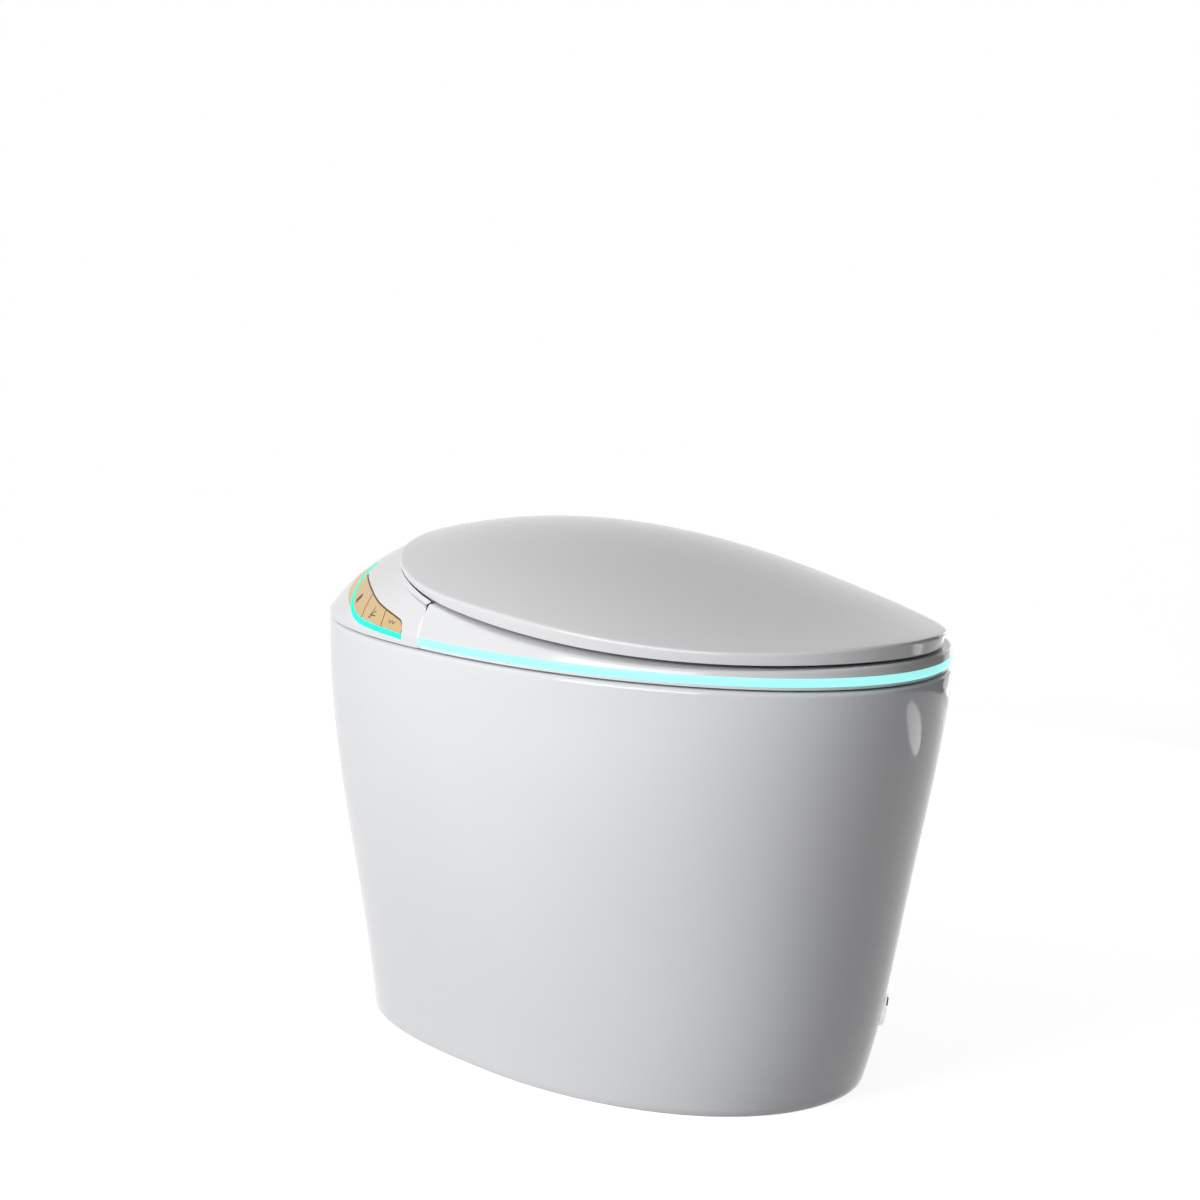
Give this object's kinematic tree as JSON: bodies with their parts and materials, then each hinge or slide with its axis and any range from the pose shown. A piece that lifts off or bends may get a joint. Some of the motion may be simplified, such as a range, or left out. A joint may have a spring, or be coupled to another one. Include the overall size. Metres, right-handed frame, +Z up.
{
  "type": "smart toilet",
  "caption": "Tankless smart toilet: skirted ceramic pedestal, crowned lid, heated ring seat with an edge light, washing nozzle, warm-air dryer and side keys in a curved rear cover.",
  "frame": {"origin": "on the floor, under the middle of the whole object's length and width", "axes": "+Z up; -Y towards the front, where the user sits facing; +X to the left hand of a seated user"},
  "size_m": [0.4206, 0.6897, 0.485],
  "materials": {
    "glaze": "white glaze",
    "white_gloss": "white, polished",
    "white_plain": "white, satin",
    "gold": "champagne gold, satin",
    "bronze": "dark bronze",
    "seat_glow": "translucent light guide",
    "panel_glow": "translucent light guide",
    "rubber": "soft grey",
    "steel": "brushed",
    "chrome": "polished",
    "board": "printed circuit board",
    "heater_foil": "foil",
    "grey_plain": "satin",
    "dark_lens": "infrared window"
  },
  "bodies": {
    "root": {"ceramic_body": "glaze", "bowl": "glaze", "trapway": "glaze", "rear_cover": "white_gloss", "panel_light": "panel_glow", "corner_trim": "gold", "key_frame": "bronze", "chassis": "white_plain", "deck_gasket": "rubber", "chassis_bolts": "steel", "cover_screws": "steel", "hinge_brackets": "white_plain", "hinge_pins": "steel", "nozzle_guide": "white_plain", "nozzle_motor": "grey_plain", "dryer_housing": "white_plain", "dryer_outlet": "grey_plain", "main_board": "board", "key_board": "board", "water_heater": "grey_plain", "flush_tank": "white_plain", "flush_pump": "grey_plain", "solenoid_valve": "grey_plain", "inlet_connector": "chrome", "cord_gland": "grey_plain", "wall_nuts": "chrome", "sensor_bezel": "chrome", "sensor_lens": "dark_lens"},
    "seat": {"seat_top": "white_gloss", "seat_base": "white_gloss", "seat_light": "seat_glow", "seat_heater": "heater_foil", "seat_bumpers": "rubber"},
    "lid": {"lid_outer": "white_gloss", "lid_inner": "white_plain", "lid_bumpers": "rubber"},
    "key_dry": {"key_dry": "gold"},
    "key_wash": {"key_wash": "gold"},
    "key_flush": {"key_flush": "gold"},
    "nozzle": {"nozzle_wand": "steel", "nozzle_tip": "white_gloss"},
    "impeller": {"dryer_impeller": "grey_plain"}
  },
  "joints": [
    {"name": "seat_hinge", "type": "hinge", "parent": "root", "child": "seat", "pos_m": [0, 0.228, 0.461], "axis": [-1, 0, 0], "range_deg": [0, 95]},
    {"name": "lid_hinge", "type": "hinge", "parent": "seat", "child": "lid", "pos_m": [0, 0.228, 0.461], "axis": [1, 0, 0], "range_deg": [-105, 0]},
    {"name": "nozzle_slide", "type": "slide", "parent": "root", "child": "nozzle", "axis": [0, -0.9903, -0.1392], "range_m": [0, 0.105]},
    {"name": "impeller_spin", "type": "hinge", "parent": "root", "child": "impeller", "pos_m": [0.05, 0.152, 0.408], "axis": [0, 0, 1], "continuous": true},
    {"name": "key_dry_press", "type": "slide", "parent": "root", "child": "key_dry", "axis": [1, 0, 0], "range_m": [0, 0.0008], "stiffness_N_per_m": 400},
    {"name": "key_wash_press", "type": "slide", "parent": "root", "child": "key_wash", "axis": [1, 0, 0], "range_m": [0, 0.0008], "stiffness_N_per_m": 400},
    {"name": "key_flush_press", "type": "slide", "parent": "root", "child": "key_flush", "axis": [1, 0, 0], "range_m": [0, 0.0008], "stiffness_N_per_m": 400}
  ]
}
